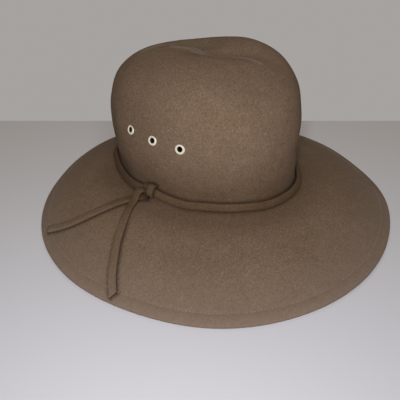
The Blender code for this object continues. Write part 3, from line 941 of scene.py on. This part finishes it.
enamel = bpy.data.materials.new("ivory_enamel")
enamel.use_nodes = True
enamel_shader = enamel.node_tree.nodes["Principled BSDF"]
spot = Signal(enamel.node_tree).node("TexCoord", output="Object")
scuff = spot.node(
    "TexNoise", inputs={"Vector": spot, "Scale": 900.0, "Detail": 4.0, "Roughness": 0.7}
)
enamel_colour = scuff.between(0.35, 0.7).mixed(ENAMEL_DARK, ENAMEL_LIGHT)
enamel.node_tree.links.new(enamel_colour.socket, enamel_shader.inputs["Base Color"])
enamel.node_tree.links.new((0.30 + 0.25 * scuff).socket, enamel_shader.inputs["Roughness"])
set_finish(enamel_shader, Coat_Weight=0.2)

# The barrel's inner faces take a near-black material, painted shade in the hole.
barrel_painted_shade = bpy.data.materials.new("eyelet_inside")
barrel_painted_shade.use_nodes = True
set_finish(
    barrel_painted_shade.node_tree.nodes["Principled BSDF"],
    Base_Color=BARREL_SHADE,
    Roughness=0.8,
    Specular_IOR_Level=0.1,
)

punches = bmesh.new()
for number in range(1, EYELETS + 1):
    order = number - (EYELETS + 1) / 2
    at = np.radians(EYELET_AZIMUTH) + order * turn_for(EYELET_PITCH, EYELET_AZIMUTH)
    station = station_of(CROWN_CURVE, "up", (EYELET_RISE - order * EYELET_SLANT) / CROWN_HEIGHT)
    place, _, _, _ = skin.find_nearest(Vector(felt(at, station)))
    facing = normals(felt, at, station)[0] + EYELET_TIP * UP
    seat = Vector(facing).to_track_quat("Z", "Y").to_matrix().to_4x4()
    seat.translation = place
    hole, barrel = EYELET_HOLE / 2, EYELET_BARREL / 2
    flange, rolled = EYELET_FLANGE / 2, EYELET_BACK / 2
    face, back = EYELET_SHEET, -FELT - EYELET_SHEET
    profile = [
        (hole, back),
        (hole, face - 0.9 * EYELET_CROWNING),
        (hole + EYELET_NICK, face - 0.2 * EYELET_CROWNING),
        (hole + 4 * EYELET_NICK, face + 0.5 * EYELET_CROWNING),
        (barrel, face + EYELET_CROWNING),
        ((barrel + flange) / 2, face + 0.9 * EYELET_CROWNING),
        (flange - 5 * EYELET_NICK, face + 0.2 * EYELET_CROWNING),
        (flange - EYELET_NICK, face - 0.8 * EYELET_CROWNING),
        (flange, EYELET_NICK),
        (barrel, 0.0),
        (barrel, -FELT),
        (rolled, -FELT),
        (rolled, back),
    ]
    angles = np.arange(EYELET_SIDES) * 2 * np.pi / EYELET_SIDES
    vertices = [
        seat @ Vector((radius * np.cos(angle), radius * np.sin(angle), height))
        for radius, height in profile
        for angle in angles
    ]
    faces = []
    for row in range(len(profile)):
        first = row * EYELET_SIDES
        after = (row + 1) % len(profile) * EYELET_SIDES
        for i in range(EYELET_SIDES):
            j = (i + 1) % EYELET_SIDES
            faces.append((first + i, first + j, after + j, after + i))
    ring = add_piece(f"eyelet_{number}_ring", vertices, faces)
    ring.data.set_sharp_from_angle(angle=np.radians(EYELET_SHARP))
    ring.data.materials.append(enamel)
    ring.data.materials.append(barrel_painted_shade)
    for polygon in ring.data.polygons[: 2 * EYELET_SIDES]:
        polygon.material_index = 1
    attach(ring, "root")
    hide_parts(f"eyelet_{number}")

    bmesh.ops.create_cone(
        punches,
        cap_ends=True,
        segments=EYELET_SIDES,
        radius1=barrel,
        radius2=barrel,
        depth=PUNCH_LENGTH,
        matrix=seat,
    )

# All three holes are punched through the felt at once.
punch_mesh = bpy.data.meshes.new("punches")
punches.to_mesh(punch_mesh)
punches.free()
punch = bpy.data.objects.new("punches", punch_mesh)
bpy.context.scene.collection.objects.link(punch)
cut = felt_body.modifiers.new("punched", "BOOLEAN")
cut.operation = "DIFFERENCE"
cut.solver = "EXACT"
cut.object = punch
shown = felt_body.evaluated_get(bpy.context.evaluated_depsgraph_get())
cut_mesh = bpy.data.meshes.new_from_object(shown)
felt_body.modifiers.clear()
felt_body.data = cut_mesh
bpy.data.objects.remove(punch, do_unlink=True)

# The table is a plain pale sheet that ends behind the hat, and the room's wall is the world's
# colour. One soft lamp and a small brighter one stand beside the camera, and a weak soft one
# behind the hat.

FLOOR_REACH = 3.0
FLOOR_BACK = 0.190
FLOOR_NEAR_COLOUR = colour(0.530, 0.530, 0.580)
FLOOR_FAR_COLOUR = colour(0.535, 0.515, 0.515)
FLOOR_FADE = (-0.25, 0.20)
CAMERA_AZIMUTH = -51.0
CAMERA_ELEVATION = 34.90
CAMERA_DISTANCE = 0.5175
CAMERA_AIM = (-0.0043, 0.0, -0.0159)
CAMERA_LENS = 40.5
# size is a lamp's side and away its distance. aside is its turn from the camera's side of the
# hat and rise its elevation, both in degrees.
Lamp = namedtuple("Lamp", "size power away aside rise")
LAMPS = {
    "soft_light": Lamp(0.80, 11.4, 1.50, 4.0, 34.0),
    "back_light": Lamp(1.00, 3.4, 1.50, 180.0, 50.0),
    "flash": Lamp(0.03, 0.94, 0.53, -3.5, 36.5),
}
ROOM_LIGHT = colour(0.170, 0.147, 0.117)
WALL_COLOUR = colour(0.385, 0.365, 0.350)

turned = Matrix.Rotation(np.radians(CAMERA_AZIMUTH), 4, "Z")
corners = [(-FLOOR_REACH, -FLOOR_REACH, 0), (FLOOR_REACH, -FLOOR_REACH, 0)]
corners += [(FLOOR_REACH, FLOOR_BACK, 0), (-FLOOR_REACH, FLOOR_BACK, 0)]
floor_mesh = bpy.data.meshes.new("floor")
floor_mesh.from_pydata([turned @ Vector(corner) for corner in corners], [], [(0, 1, 2, 3)])
floor = bpy.data.objects.new("floor", floor_mesh)
bpy.context.scene.collection.objects.link(floor)
pale = bpy.data.materials.new("pale_floor")
pale.use_nodes = True
pale_shader = pale.node_tree.nodes["Principled BSDF"]
spot = Signal(pale.node_tree).node("TexCoord", output="Object")
backward = turned @ Vector((0, 1, 0))
across = spot.node("VectorMath", {"operation": "DOT_PRODUCT"}, {0: spot, 1: backward}, "Value")
tint = across.between(*FLOOR_FADE).mixed(FLOOR_NEAR_COLOUR, FLOOR_FAR_COLOUR)
pale.node_tree.links.new(tint.socket, pale_shader.inputs["Base Color"])
set_finish(pale_shader, Roughness=0.7)
floor_mesh.materials.append(pale)

camera = bpy.data.objects.new("camera", bpy.data.cameras.new("camera"))
bpy.context.scene.collection.objects.link(camera)
elevation = np.radians(CAMERA_ELEVATION)
look = turned @ Vector(CAMERA_AIM) + Vector((HEAD_ASIDE, HEAD_SETBACK, 0))
forward = turned @ Vector((0, np.cos(elevation), -np.sin(elevation)))
camera.location = look - CAMERA_DISTANCE * forward
camera.rotation_mode = "QUATERNION"
camera.rotation_quaternion = forward.to_track_quat("-Z", "Y")
camera.data.lens = CAMERA_LENS
camera.data.clip_start = 0.01
bpy.context.scene.camera = camera

for name, row in LAMPS.items():
    lamp = bpy.data.objects.new(name, bpy.data.lights.new(name, "AREA"))
    bpy.context.scene.collection.objects.link(lamp)
    lamp.data.size = row.size
    lamp.data.energy = row.power
    aside, rise = np.radians((row.aside, row.rise))
    level = Vector((np.sin(aside), -np.cos(aside), 0)) * np.cos(rise)
    way = turned @ (level + Vector((0, 0, np.sin(rise))))
    lamp.location = look + row.away * way
    lamp.rotation_mode = "QUATERNION"
    lamp.rotation_quaternion = way.to_track_quat("Z", "Y")

world = bpy.data.worlds.new("room")
bpy.context.scene.world = world
world.use_nodes = True
sky = Signal(world.node_tree)
seen = sky.node("LightPath", output="Is Camera Ray").mixed(ROOM_LIGHT, WALL_COLOUR)
world.node_tree.links.new(seen.socket, world.node_tree.nodes["Background"].inputs["Color"])
bpy.context.scene.view_settings.view_transform = "Standard"
